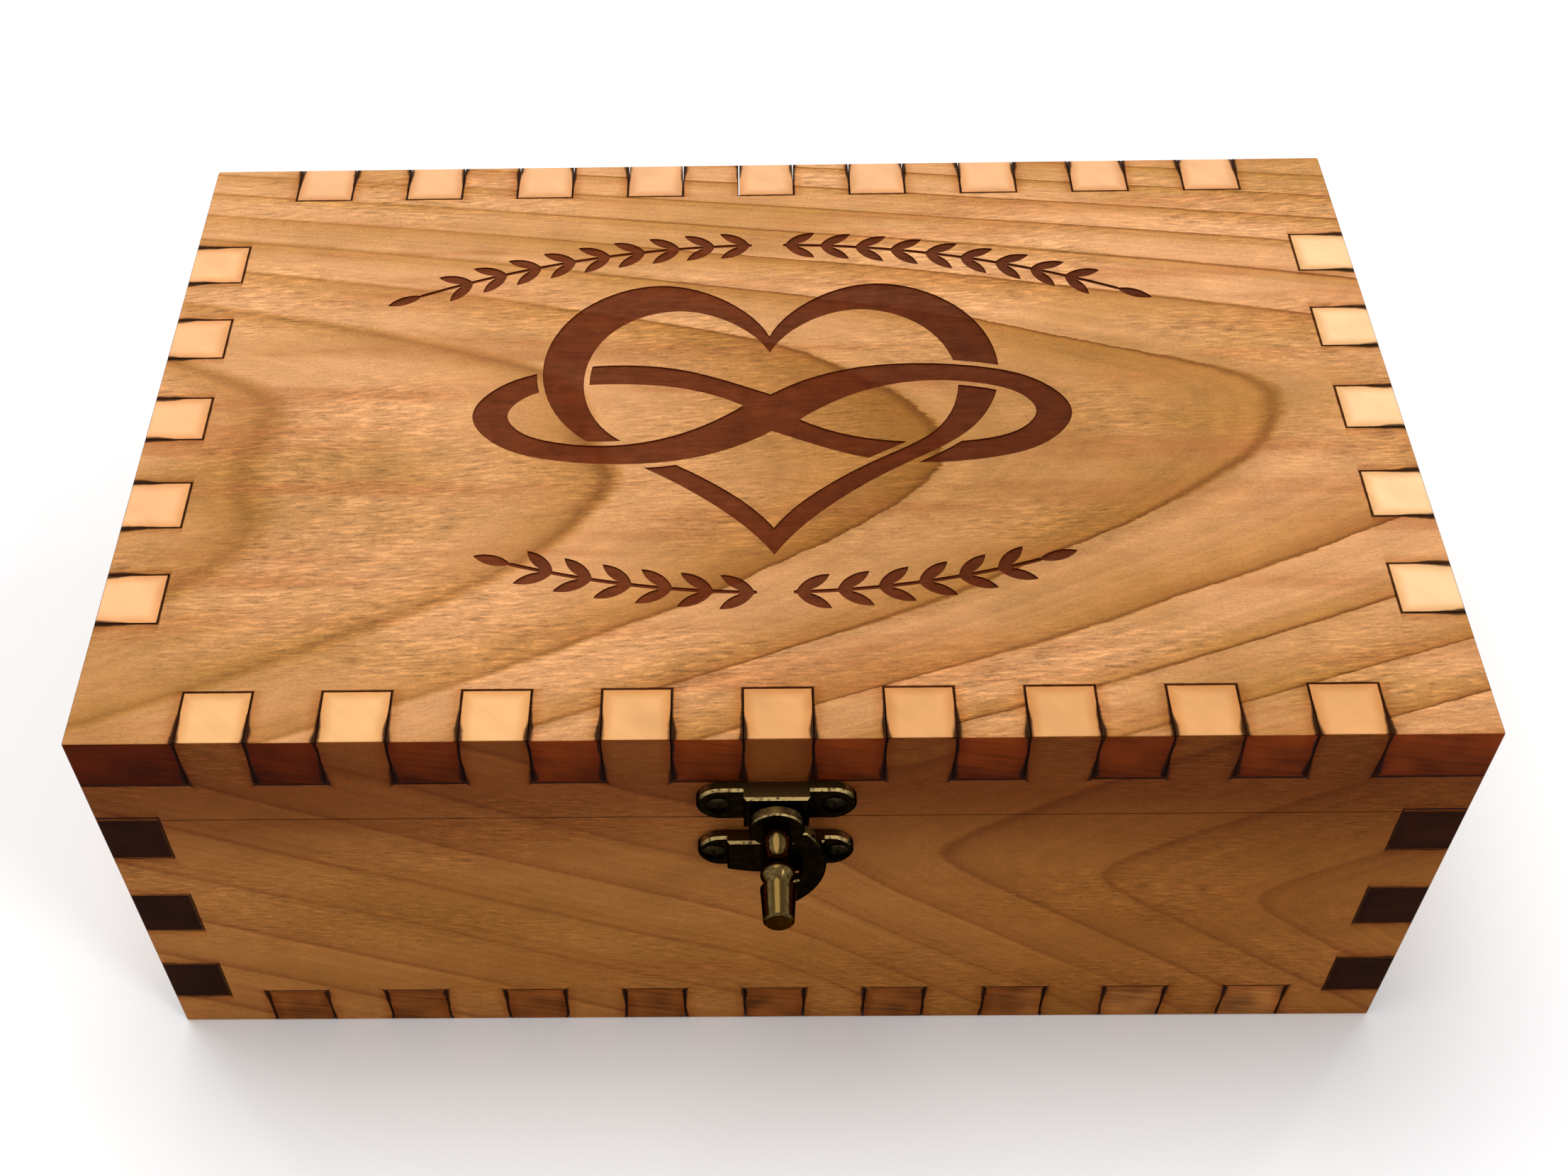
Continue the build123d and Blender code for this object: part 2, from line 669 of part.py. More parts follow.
def hinge_leaf(face, side, knuckles):
    """One leaf of a butt hinge, with its knuckles and a bore for the pin.

    side is 1 for the leaf above the pin and -1 for the one below it. knuckles lists the
    middle and the length of each knuckle along the pin.
    """
    pin_line = face.offset(hinge_axis_out)
    with BuildPart() as leaf_part:
        with BuildSketch(face):
            with Locations((0, side * leaf_bottom_middle)):
                RectangleRounded(hinge_leaf_width, leaf_face_height, hinge_leaf_corner)
            with Locations((0, side * (leaf_bottom_middle - leaf_face_height / 4))):
                Rectangle(hinge_leaf_width, leaf_face_height / 2)
            for middle, length in knuckles:
                with Locations((middle, side * web_middle)):
                    Rectangle(length, web_height)
            with Locations(*[(x, side * y) for x, y in hinge_screw_places]):
                Circle(hinge_screw_radius + screw_hole_gap, mode=Mode.SUBTRACT)
        extrude(amount=hinge_leaf_thickness)
        for middle, length in knuckles:
            start = pin_line.origin + pin_line.x_dir * (middle - length / 2)
            with BuildSketch(Plane(origin=start, z_dir=pin_line.x_dir)):
                Circle(hinge_knuckle_radius)
            extrude(amount=length)
        bore_start = pin_line.origin - pin_line.x_dir * hinge_leaf_width
        with BuildSketch(Plane(origin=bore_start, z_dir=pin_line.x_dir)):
            Circle(hinge_pin_radius + running_gap)
        extrude(amount=2 * hinge_leaf_width, mode=Mode.SUBTRACT)
    return leaf_part.part


body_knuckles = [(-outer_knuckle_centre, outer_knuckle), (outer_knuckle_centre, outer_knuckle)]
lid_knuckles = [(0, hinge_middle_knuckle)]

for hand, face in zip(("left", "right"), hinge_faces):
    for leaf_name, side, knuckles in (("body", -1, body_knuckles), ("lid", 1, lid_knuckles)):
        hinge_leaf_part = hinge_leaf(face, side, knuckles)
        hinge_leaf_part.label = f"hinge_{hand}_{leaf_name}_leaf"
        export_step(hinge_leaf_part, f"parts/hinge_{hand}_{leaf_name}_leaf.step")

    pin_start = face.offset(hinge_axis_out).origin - face.x_dir * (hinge_leaf_width / 2)
    with BuildPart() as hinge_pin:
        with BuildSketch(Plane(origin=pin_start, z_dir=face.x_dir)):
            Circle(hinge_pin_radius)
        extrude(amount=hinge_leaf_width)
        for head_start, out in ((pin_start, -1), (pin_start + face.x_dir * hinge_leaf_width, 1)):
            with BuildSketch(Plane(origin=head_start, z_dir=face.x_dir * out)):
                Circle(hinge_pin_head_radius)
            extrude(amount=hinge_pin_head_thickness)
    hinge_pin.part.label = f"hinge_{hand}_pin"
    export_step(hinge_pin.part, f"parts/hinge_{hand}_pin.step")

for name, places in (
    ("hinge_body_screws", body_hinge_screw_places),
    ("hinge_lid_screws", hinge_screw_places),
):
    with BuildPart(*hinge_faces) as hinge_screws:
        with Locations(*[(x, y, hinge_leaf_thickness) for x, y in places]):
            add(hinge_screw)
    hinge_screws.part.label = name
    export_step(hinge_screws.part, f"parts/{name}.step")
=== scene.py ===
"""Dresses a finger-jointed cherry keepsake box with a swing-hook latch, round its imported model."""

import logging
import math
from dataclasses import dataclass
from enum import Enum

import bpy
from mathutils import Euler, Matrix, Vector


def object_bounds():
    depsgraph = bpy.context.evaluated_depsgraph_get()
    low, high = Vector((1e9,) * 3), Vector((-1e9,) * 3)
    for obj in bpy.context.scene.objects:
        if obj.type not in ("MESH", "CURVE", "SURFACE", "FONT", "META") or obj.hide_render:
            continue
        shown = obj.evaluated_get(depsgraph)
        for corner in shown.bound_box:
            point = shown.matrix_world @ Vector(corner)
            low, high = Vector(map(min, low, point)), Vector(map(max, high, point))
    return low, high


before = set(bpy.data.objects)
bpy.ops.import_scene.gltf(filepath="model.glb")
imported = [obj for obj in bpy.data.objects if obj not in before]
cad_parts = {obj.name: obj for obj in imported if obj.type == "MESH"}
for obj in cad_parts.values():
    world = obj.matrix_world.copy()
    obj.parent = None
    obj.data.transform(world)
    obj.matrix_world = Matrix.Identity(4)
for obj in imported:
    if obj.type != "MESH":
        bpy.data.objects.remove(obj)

CAD_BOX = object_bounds()

MM = 0.001
PHOTO_SIZE = (2212, 1659)
MIX_VALUES = (2, 3)
MIX_COLOURS = (6, 7)
MIX_COLOUR_OUT = 2

log = logging.getLogger("keepsake_box")

Colour = tuple[float, float, float]
Point = tuple[float, float, float]
Span = tuple[float, float]
Socket = bpy.types.NodeSocket
Sockets = dict[str, Socket]
Value = float | Socket

WHITE: Colour = (1.0, 1.0, 1.0)


def srgb(red: int, green: int, blue: int) -> Colour:
    """Turns a colour of 0 to 255 parts, as a screen shows it, into linear light.

    Args:
        red: The red part.
        green: The green part.
        blue: The blue part.

    Returns:
        The three linear parts, from 0 to 1.
    """
    parts = (part / 255 for part in (red, green, blue))
    return tuple(p / 12.92 if p <= 0.04045 else ((p + 0.055) / 1.055) ** 2.4 for p in parts)


class Wiring:
    """Places and links shader nodes in one node tree."""

    def __init__(self, tree: bpy.types.NodeTree) -> None:
        """Keeps the tree that the nodes go into."""
        self.tree = tree

    def put(self, socket: Socket, value: Value | Colour) -> None:
        """Links a socket to another one, or sets its own value.

        Args:
            socket: The input socket.
            value: An output socket to link it to, or a number, a colour or a vector.
        """
        if isinstance(value, bpy.types.NodeSocket):
            self.tree.links.new(value, socket)
        elif isinstance(value, tuple) and socket.type == "RGBA":
            socket.default_value = (*value, 1.0)
        else:
            socket.default_value = value

    def node(self, kind: str, inputs: dict[str | int, Value | Colour] | None = None,
             **settings: str) -> bpy.types.Node:
        """Adds one node.

        Args:
            kind: The node's type, without its ShaderNode prefix.
            inputs: Values or sockets for the node's inputs, by name or by place.
            **settings: The node's own settings.

        Returns:
            The new node.
        """
        made = self.tree.nodes.new("ShaderNode" + kind)
        for name, value in settings.items():
            setattr(made, name, value)
        for key, value in (inputs or {}).items():
            self.put(made.inputs[key], value)
        return made

    def surface(self, shader: bpy.types.Node, output: str = "OutputMaterial") -> None:
        """Links a shader to the tree's output."""
        out = self.node(output)
        self.tree.links.new(shader.outputs[0], out.inputs["Surface"])

    def math(self, operation: str, *values: Value) -> Socket:
        """One Math node's result."""
        return self.node("Math", dict(enumerate(values)), operation=operation).outputs[0]

    def plus(self, first: Value, second: Value) -> Socket:
        """The sum of two values."""
        return self.math("ADD", first, second)

    def minus(self, first: Value, second: Value) -> Socket:
        """The first value less the second."""
        return self.math("SUBTRACT", first, second)

    def larger(self, first: Value, second: Value) -> Socket:
        """The larger of two values."""
        return self.math("MAXIMUM", first, second)

    def size(self, value: Value) -> Socket:
        """A value without its sign."""
        return self.math("ABSOLUTE", value)

    def times(self, first: Value, second: Value) -> Socket:
        """The product of two values."""
        return self.math("MULTIPLY", first, second)

    def times_plus(self, first: Value, second: Value, added: Value) -> Socket:
        """The product of two values, plus a third."""
        return self.math("MULTIPLY_ADD", first, second, added)

    def above(self, value: Value, limit: Value) -> Socket:
        """1 where the value is above the limit, else 0."""
        return self.math("GREATER_THAN", value, limit)

    def below(self, value: Value, limit: Value) -> Socket:
        """1 where the value is below the limit, else 0."""
        return self.math("LESS_THAN", value, limit)

    def ramp(self, value: Value, low: Value, high: Value) -> Socket:
        """A smooth step.

        Args:
            value: The value that is looked at.
            low: Where the step is 0.
            high: Where the step is 1, which may be the lower of the two.

        Returns:
            The step, from 0 to 1.
        """
        limits = {"Value": value, "From Min": low, "From Max": high}
        return self.node("MapRange", limits, interpolation_type="SMOOTHSTEP").outputs["Result"]

    def blend(self, share: Value, first: Value, second: Value) -> Socket:
        """Mixes two values, from the first at share 0 to the second at share 1."""
        inputs = dict(zip(("Factor", *MIX_VALUES), (share, first, second)))
        return self.node("Mix", inputs).outputs[0]

    def mix(self, share: Value, first: Value | Colour, second: Value | Colour,
            blend: str = "MIX") -> Socket:
        """Mixes two colours.

        Args:
            share: How much of the second colour shows.
            first: The colour at share 0.
            second: The colour at share 1.
            blend: The blend mode.

        Returns:
            The mixed colour.
        """
        made = self.node("Mix", data_type="RGBA", blend_type=blend)
        for key, value in zip(("Factor", *MIX_COLOURS), (share, first, second)):
            self.put(made.inputs[key], value)
        return made.outputs[MIX_COLOUR_OUT]

    def scaled(self, vector: Socket | Colour, factor: Value) -> Socket:
        """A vector or a colour times one value."""
        inputs = {0: vector, "Scale": factor}
        return self.node("VectorMath", inputs, operation="SCALE").outputs[0]

    def noise(self, place: Socket, scale: float, detail: float = 2.0,
              roughness: float = 0.5) -> Socket:
        """A noise texture centred on 0, about -0.5 to 0.5.

        Args:
            place: Where in the noise the surface point lies.
            scale: How many features the noise has in a millimetre.
            detail: How many finer layers it has.
            roughness: How strong each finer layer is.

        Returns:
            The noise's value.
        """
        inputs = {"Vector": place, "Scale": scale, "Detail": detail, "Roughness": roughness}
        return self.minus(self.node("TexNoise", inputs).outputs[0], 0.5)

    def vector(self, x: Value, y: Value, z: Value) -> Socket:
        """Three values as one vector."""
        return self.node("CombineXYZ", {0: x, 1: y, 2: z}).outputs[0]

    def drawn_out(self, along: Socket, share: float, across: Value, deep: Value) -> Socket:
        """A place in a noise that is drawn out along the board, to 1 / share of its length."""
        return self.vector(self.times(along, share), across, deep)

    def split(self, vector: Socket) -> list[Socket]:
        """A vector's three values."""
        return list(self.node("SeparateXYZ", {0: vector}).outputs)

    def place(self) -> Socket:
        """The surface point in the box's own frame, in millimetres."""
        return self.scaled(self.node("TexCoord").outputs["Object"], 1 / MM)

    def normal(self) -> list[Socket]:
        """The surface's direction along each of the box's axes."""
        return self.split(self.node("TexCoord").outputs["Normal"])

    def seen(self) -> Socket:
        """1 where the camera, a reflection or a view through glass looks, else 0."""
        path = self.node("LightPath").outputs
        seen = self.larger(path["Is Camera Ray"], path["Is Glossy Ray"])
        return self.larger(seen, path["Is Transmission Ray"])


def cleared(owner: bpy.types.Material | bpy.types.World) -> bpy.types.NodeTree:
    """Empties the node tree of a material or a world.

    Args:
        owner: The material or the world.

    Returns:
        The empty tree.
    """
    owner.use_nodes = True
    owner.node_tree.nodes.clear()
    return owner.node_tree


def titled(name: str) -> str:
    """An input's name as a group shows it, such as Ring Spacing for ring_spacing."""
    return name.replace("_", " ").title()


class EffectGroup:
    """A shader node group that is built once and placed in many materials."""

    name: str = ""
    inputs: tuple[str, ...] = ()
    outputs: tuple[str, ...] = ()

    def tree(self) -> bpy.types.NodeTree:
        """Finds the group's tree, or builds it the first time that it is asked for.

        Returns:
            The group's node tree.
        """
        found = bpy.data.node_groups.get(self.name)
        if found:
            return found
        made = bpy.data.node_groups.new(self.name, "ShaderNodeTree")
        for way, titles in (("INPUT", self.inputs), ("OUTPUT", self.outputs)):
            for title in titles:
                made.interface.new_socket(title, in_out=way, socket_type="NodeSocketFloat")
        given = made.nodes.new("NodeGroupInput")
        taken = made.nodes.new("NodeGroupOutput")
        results = self.wire(Wiring(made), {title: given.outputs[title] for title in self.inputs})
        for title in self.outputs:
            made.links.new(results[title], taken.inputs[title])
        return made

    def wire(self, net: Wiring, given: Sockets) -> Sockets:
        """Wires the group's nodes.

        Args:
            net: Where the nodes go.
            given: The group's input sockets by name.

        Returns:
            The sockets that the group puts out, by name.
        """
        raise NotImplementedError

    def use(self, net: Wiring, **values: Value) -> Sockets:
        """Places the group in a material.

        Args:
            net: The material's wiring.
            **values: Values or sockets for the group's inputs, by their names in small letters.

        Returns:
            The group's output sockets by name.
        """
        made = net.tree.nodes.new("ShaderNodeGroup")
        made.node_tree = self.tree()
        for name, value in values.items():
            net.put(made.inputs[titled(name)], value)
        return {title: made.outputs[title] for title in self.outputs}


@dataclass(frozen=True)
class ArchedRings(EffectGroup):
    """The growth rings of a flat-sawn board: nested arches along a slanting line of tips."""

    name = "arched rings"
    inputs = (
        "Along", "Across", "Deep", "Tip Height", "Tip Slope", "Spread Above", "Spread Below",
        "Ring Spacing", "Waver", "Seed", "Upper Fade", "Straight Start", "Straight End",
        "Straight Slope", "Straight Scale", "Knee",
    )
    outputs = ("Ring",)

    draw: float = 0.35
    drift_scale: float = 0.028
    shake_scale: float = 0.16
    shake_share: float = 0.16
    fade_height: float = 40.0
    level_height: float = -12.9

    def wire(self, net: Wiring, given: Sockets) -> Sockets:
        """Counts the rings along the board: a whole number is a late-wood line.

        Args:
            net: Where the nodes go.
            given: The group's input sockets by name.

        Returns:
            The ring count.
        """
        along, across, knee = given["Along"], given["Across"], given["Knee"]
        seeded = net.plus(given["Deep"], given["Seed"])
        slow = net.drawn_out(along, self.draw, across, seeded)
        drift = net.times(net.noise(slow, self.drift_scale, 1.0), given["Waver"])
        shake = net.times(net.noise(slow, self.shake_scale, 3.0, 0.6), given["Waver"])
        tips = net.times_plus(along, given["Tip Slope"], given["Tip Height"])
        off = net.minus(across, tips)
        upper = net.above(off, 0.0)
        far = net.times(net.ramp(off, 0.0, self.fade_height), given["Upper Fade"])
        level = net.times_plus(along, given["Tip Slope"], self.level_height)
        off = net.times_plus(level, far, off)
        spread = net.blend(upper, given["Spread Below"], given["Spread Above"])
        reach = net.math("SQRT", net.times_plus(off, off, net.times(knee, knee)))
        steepness = net.math("DIVIDE", net.times(knee, 2.0), spread)
        arched = net.plus(along, net.times(net.minus(reach, knee), steepness))
        sloped = net.times_plus(along, given["Straight Slope"], given["Tip Height"])
        sloped = net.times(net.minus(sloped, across), given["Straight Scale"])
        straight = net.ramp(along, given["Straight Start"], given["Straight End"])
        rings = net.plus(net.blend(straight, arched, sloped), drift)
        rings = net.times_plus(shake, self.shake_share, rings)
        return {"Ring": net.math("DIVIDE", rings, given["Ring Spacing"])}


@dataclass(frozen=True)
class CherryGrain(EffectGroup):
    """What the rings and fibres of cherry do to its tone."""

    name = "cherry grain"
    inputs = ("Ring", "Along", "Across", "Deep", "Line Width", "Softness", "Seed")
    outputs = ("Tone", "Line", "Shade", "Fibre")

    slow_draw: float = 0.5
    bend_scale: float = 0.05
    bend: float = 6.0
    lean: float = -0.06
    hair_draw: float = 0.08
    hair_scale: float = 2.6
    hair_on_rings: float = 0.03
    ragged_scale: float = 0.22
    ragged_on_rings: float = 0.045
    patch_scale: float = 0.03
    patch_span: Span = (0.1, -0.2)
    patch_softness: float = 0.6
    ring_turn: float = 12.9
    ring_gain: float = 43.7
    sharp_fade: float = 0.012
    soft_fade: float = 0.12
    late_power: float = 1.7
    late_power_range: float = 2.6
    soft_tone: float = -0.35
    fall_share: float = 0.6
    soft_line: float = -0.72
    faintest_line: float = 0.7
    line_range: float = 0.4
    layer_scale: float = 7.0
    layer_depth: float = 0.42
    dash_draw: float = 0.16
    dash_scale: float = 1.5
    bright_span: Span = (0.05, 0.12)
    bright_depth: float = 0.36
    dark_span: Span = (-0.07, -0.15)
    dark_depth: float = 0.30
    figured_scale: float = 0.035
    figured_span: Span = (-0.10, 0.14)
    plain_share: float = 0.15
    hair_depth: float = 0.35
    grit_draw: float = 0.55
    grit_scale: float = 2.1
    grit_depth: float = 0.62
    cloud_scale: float = 0.07
    cloud_depth: float = 0.5

    def wire(self, net: Wiring, given: Sockets) -> Sockets:
        """Darkens the tone towards each ring's edge and runs flecks and fibres along the board.

        Args:
            net: Where the nodes go.
            given: The group's input sockets by name.

        Returns:
            The tone and the line of the rings, the shade of flecks and fibres, and the fibres.
        """
        along = given["Along"]
        seeded = net.plus(given["Deep"], given["Seed"])
        slow = net.drawn_out(along, self.slow_draw, given["Across"], seeded)
        bend = net.times(net.noise(slow, self.bend_scale, 1.0), self.bend)
        across = net.plus(given["Across"], bend)
        leaning = net.times_plus(along, self.lean, across)
        hair = net.drawn_out(along, self.hair_draw, leaning, seeded)
        fibre = net.noise(hair, self.hair_scale, 3.0, 0.7)
        board = net.vector(along, across, seeded)
        ragged = net.noise(board, self.ragged_scale, 3.0, 0.65)
        ring = net.times_plus(fibre, self.hair_on_rings, given["Ring"])
        ring = net.times_plus(ragged, self.ragged_on_rings, ring)
        patchy = net.ramp(net.noise(slow, self.patch_scale, 2.0), *self.patch_span)
        patchy = net.times(patchy, self.patch_softness)
        soft = net.larger(patchy, given["Softness"])
        tone, line = self.rings(net, ring, soft, given["Line Width"])
        dashes = net.drawn_out(along, self.dash_draw, leaning, seeded)
        dashes = net.noise(dashes, self.dash_scale, 2.0, 0.6)
        bright = net.times(net.ramp(dashes, *self.bright_span), self.bright_depth)
        dark = net.times(net.ramp(dashes, *self.dark_span), self.dark_depth)
        figured = net.ramp(net.noise(slow, self.figured_scale, 1.0), *self.figured_span)
        figured = net.times_plus(figured, 1.0 - self.plain_share, self.plain_share)
        flecks = net.times(net.minus(bright, dark), figured)
        layer = {"W": ring, "Scale": self.layer_scale, "Detail": 4.0}
        layer = net.minus(net.node("TexNoise", layer, noise_dimensions="1D").outputs[0], 0.5)
        grit = net.drawn_out(along, self.grit_draw, across, seeded)
        grit = net.noise(grit, self.grit_scale, 2.0, 0.7)
        cloud = net.noise(board, self.cloud_scale, 4.0, 0.65)
        shade = net.times_plus(layer, self.layer_depth, 1.0)
        shade = net.plus(shade, flecks)
        shade = net.times_plus(fibre, self.hair_depth, shade)
        shade = net.times_plus(grit, self.grit_depth, shade)
        shade = net.times_plus(cloud, self.cloud_depth, shade)
        return {"Tone": tone, "Line": line, "Shade": shade, "Fibre": fibre}

    def rings(self, net: Wiring, ring: Socket, soft: Socket,
              line_width: Socket) -> tuple[Socket, Socket]:
        """Shades each ring from early to late wood, a little differently from its neighbours.

        Args:
            net: Where the nodes go.
            ring: The ring count.
            soft: How soft the rings' edges are, from 0 to 1.
            line_width: The width of a late-wood line, as a share of its ring.

        Returns:
            The tone, from 0 in early wood to 1, and the strength of the late-wood line.
        """
        phase = net.math("FRACT", ring)
        turned = net.times(net.math("FLOOR", ring), self.ring_turn)
        chance = net.math("FRACT", net.times(net.math("SINE", turned), self.ring_gain))
        fade = net.times_plus(soft, self.soft_fade, self.sharp_fade)
        power = net.times_plus(chance, self.late_power_range, self.late_power)
        tone = net.math("POWER", phase, power)
        tone = net.larger(tone, net.ramp(phase, fade, 0.0))
        tone = net.times(tone, net.times_plus(soft, self.soft_tone, 1.0))
        width = net.times(line_width, net.plus(soft, 1.0))
        before = net.math("DIVIDE", net.minus(1.0, phase), width)
        rise = net.math("POWER", net.ramp(before, 1.0, 0.0), 2.0)
        fall = net.ramp(phase, net.times(fade, self.fall_share), 0.0)
        strength = net.times_plus(chance, self.line_range, self.faintest_line)
        strength = net.times(net.times_plus(soft, self.soft_line, 1.0), strength)
        line = net.times(net.larger(rise, fall), strength)
        return tone, line


@dataclass(frozen=True)
class SawnJoint(EffectGroup):
    """Scorched lines round the fingers of one joint, where a hot beam cut the board."""

    name = "sawn joint"
    inputs = (
        "Along", "From Edge", "Middle", "Pitch", "Finger", "Half Run", "Notch", "Sign",
        "Scorch", "Outer Flare", "Inner Flare",
    )
    outputs = ("Scorch", "Halo")

    end_zone: float = 9.0
    root_span: Span = (5.0, 13.0)
    wave_pace: float = 0.5
    wave_shift: float = 2.3
    wave_height: float = 0.25
    band_span: Span = (1.0, 0.35)
    halo_width: float = 3.2

    def wire(self, net: Wiring, given: Sockets) -> Sockets:
        """Measures the distance to the nearest cut and darkens a narrow band beside it.

        Args:
            net: Where the nodes go.
            given: The group's input sockets by name.

        Returns:
            The scorched band and the browned halo round it, both from 0 to 1.
        """
        inset = given["From Edge"]
        moved = net.minus(given["Along"], given["Middle"])
        turns = net.math("DIVIDE", moved, given["Pitch"])
        whole = net.math("ROUND", turns)
        centred = net.times(net.minus(turns, whole), given["Pitch"])
        near_end = net.ramp(inset, self.end_zone, 0.0)
        near_root = net.ramp(inset, *self.root_span)
        phase = net.times_plus(inset, self.wave_pace, net.times(whole, self.wave_shift))
        wave = net.times(net.math("SINE", phase), self.wave_height)
        half = net.times(given["Finger"], 0.5)
        side = net.minus(net.size(centred), half)
        side = net.times_plus(wave, near_end, side)
        beyond = net.minus(net.size(moved), given["Half Run"])
        side = net.times(net.larger(side, beyond), given["Sign"])
        end = net.minus(inset, given["Notch"])
        apart = net.size(net.larger(side, end))
        widening = net.times_plus(near_end, given["Outer Flare"], 1.0)
        widening = net.times_plus(near_root, given["Inner Flare"], widening)
        widening = net.blend(net.above(side, end), 1.0, widening)
        wide = net.times(given["Scorch"], widening)
        band = net.ramp(net.math("DIVIDE", apart, wide), *self.band_span)
        present = net.below(inset, net.plus(given["Notch"], wide))
        halo = net.times(net.ramp(apart, self.halo_width, 0.0), present)
        return {"Scorch": net.times(band, present), "Halo": halo}


RINGS = ArchedRings()
GRAIN = CherryGrain()
JOINT = SawnJoint()


class Face(Enum):
    """Which face of the box a board's figure lies on: its along and across axes, and its depth."""

    TOP = (0, 1, 2)
    FRONT = (0, 2, 1)
    SIDE = (1, 2, 0)


class Edge(Enum):
    """The outer faces of the box, each with its name and the axis that it faces along."""

    SIDE = ("left or right", 0)
    LONG = ("front or back", 1)
    TOP = ("top", 2)
    BASE = ("base", 2)

    @property
    def axis(self) -> int:
        """The number of the axis that the face looks along."""
        return self.value[1]


@dataclass(frozen=True)
class FingerRow:
    """A row of fingers on one outer face, from the edge that its notches are cut in from."""

    face: Edge
    axis: int
    edge: Edge
    middle: float
    half_run: float
    sign: float
    outer_flare: float
    inner_flare: float


@dataclass(frozen=True)
class Joinery:
    """The box and its finger joints, in millimetres, as the boards are cut."""

    height: float
    width: float = 276.0
    depth: float = 186.0
    stock: float = 12.7
    finger: float = 13.7
    pitch: float = 27.4
    notch: float = 12.95
    first_upright: float = 17.85
    fingers_across: int = 9
    fingers_deep: int = 5
    fingers_high: int = 3
    skin: float = 1.0

    def half_run(self, fingers: int) -> float:
        """From the middle of a row of fingers to the far side of its last one."""
        return (fingers - 1) * self.pitch / 2 + self.finger / 2

    def rows(self) -> tuple[FingerRow, ...]:
        """Lists the rows of fingers on the outside of the box.

        Returns:
            The rows.
        """
        across, deep = self.half_run(self.fingers_across), self.half_run(self.fingers_deep)
        high = self.half_run(self.fingers_high)
        middle = self.first_upright + (self.fingers_high - 1) * self.pitch / 2
        return (
            FingerRow(Edge.TOP, 0, Edge.LONG, 0.0, across, 1.0, 2.2, 0.0),
            FingerRow(Edge.TOP, 1, Edge.SIDE, 0.0, deep, 1.0, 2.2, 0.0),
            FingerRow(Edge.BASE, 0, Edge.LONG, 0.0, across, -1.0, 0.5, 0.5),
            FingerRow(Edge.BASE, 1, Edge.SIDE, 0.0, deep, -1.0, 0.5, 0.5),
            FingerRow(Edge.LONG, 0, Edge.TOP, 0.0, across, -1.0, 0.3, 2.4),
            FingerRow(Edge.LONG, 0, Edge.BASE, 0.0, across, 1.0, 0.3, 1.6),
            FingerRow(Edge.SIDE, 1, Edge.TOP, 0.0, deep, -1.0, 0.3, 2.4),
            FingerRow(Edge.SIDE, 1, Edge.BASE, 0.0, deep, 1.0, 0.3, 1.6),
            FingerRow(Edge.LONG, 2, Edge.SIDE, middle, high, 1.0, 0.0, 0.0),
            FingerRow(Edge.SIDE, 2, Edge.LONG, middle, high, -1.0, 0.0, 0.0),
        )


class BoardWiring(Wiring):
    """A board's node tree, with the surface point measured in the box, in millimetres."""

    def __init__(self, tree: bpy.types.NodeTree, joinery: Joinery) -> None:
        """Measures the point's place, and how far it lies in from the box's faces.

        Args:
            tree: The board's node tree.
            joinery: The box that the board belongs to.
        """
        super().__init__(tree)
        self.joinery = joinery
        self.point = self.place()
        self.axes = self.split(self.point)
        self.facing = [self.size(part) for part in self.normal()]
        x, y, z = self.axes
        self.inset = {
            Edge.SIDE: self.minus(joinery.width / 2, self.size(x)),
            Edge.LONG: self.minus(joinery.depth / 2, self.size(y)),
            Edge.TOP: self.minus(joinery.height, z),
            Edge.BASE: z,
        }

    def on_either(self, first: Edge, second: Edge) -> Socket:
        """1 within the skin of one of two outer faces, else 0."""
        nearer = self.math("MINIMUM", self.inset[first], self.inset[second])
        return self.below(nearer, self.joinery.skin)


@dataclass(frozen=True)
class Figure:
    """How the rings lie in one board."""

    face: Face
    direction: float = 1.0
    tip_height: float = 0.0
    tip_slope: float = 0.0
    spread_above: float = 18.0
    spread_below: float = 27.0
    ring_spacing: float = 74.0
    ring_offset: float = 0.0
    waver: float = 10.0
    seed: float = 0.0
    upper_fade: float = 0.0
    straight_start: float = 900.0
    straight_end: float = 1000.0
    straight_slope: float = 0.43
    straight_scale: float = 1.0
    knee: float = 200.0
    softness: float = 0.5
    soft_from: float = 1000.0
    soft_to: float = 900.0

    def grain(self, net: Wiring, along: Socket, across: Socket, deep: Socket,
              line_width: float) -> Sockets:
        """Lays the rings and the fibres.

        Args:
            net: The material's wiring.
            along: The place along the board.
            across: The place across the board.
            deep: The place in the board's thickness.
            line_width: The width of a late-wood line, as a share of its ring.

        Returns:
            The outputs of the grain's group by name.
        """
        sizes = {name: size for name, size in vars(self).items() if titled(name) in RINGS.inputs}
        ring = RINGS.use(net, along=along, across=across, deep=deep, **sizes)["Ring"]
        ring = net.plus(ring, self.ring_offset)
        soft = net.times(net.ramp(along, self.soft_from, self.soft_to), self.softness)
        return GRAIN.use(
            net, ring=ring, along=along, across=across, deep=deep, line_width=line_width,
            seed=self.seed, softness=soft,
        )


@dataclass(frozen=True)
class Shading:
    """A tint that comes in along one axis of the box, on all faces or on the outer walls alone."""

    axis: int
    start: float
    end: float
    tint: Colour
    outside: bool = False

    def apply(self, net: BoardWiring, colour: Socket) -> Socket:
        """Tints a colour.

        Args:
            net: The board's wiring.
            colour: The colour without the shading.

        Returns:
            The tinted colour.
        """
        share = net.ramp(net.axes[self.axis], self.start, self.end)
        if self.outside:
            share = net.times(share, net.on_either(Edge.SIDE, Edge.LONG))
        return net.mix(share, colour, self.tint, "MULTIPLY")


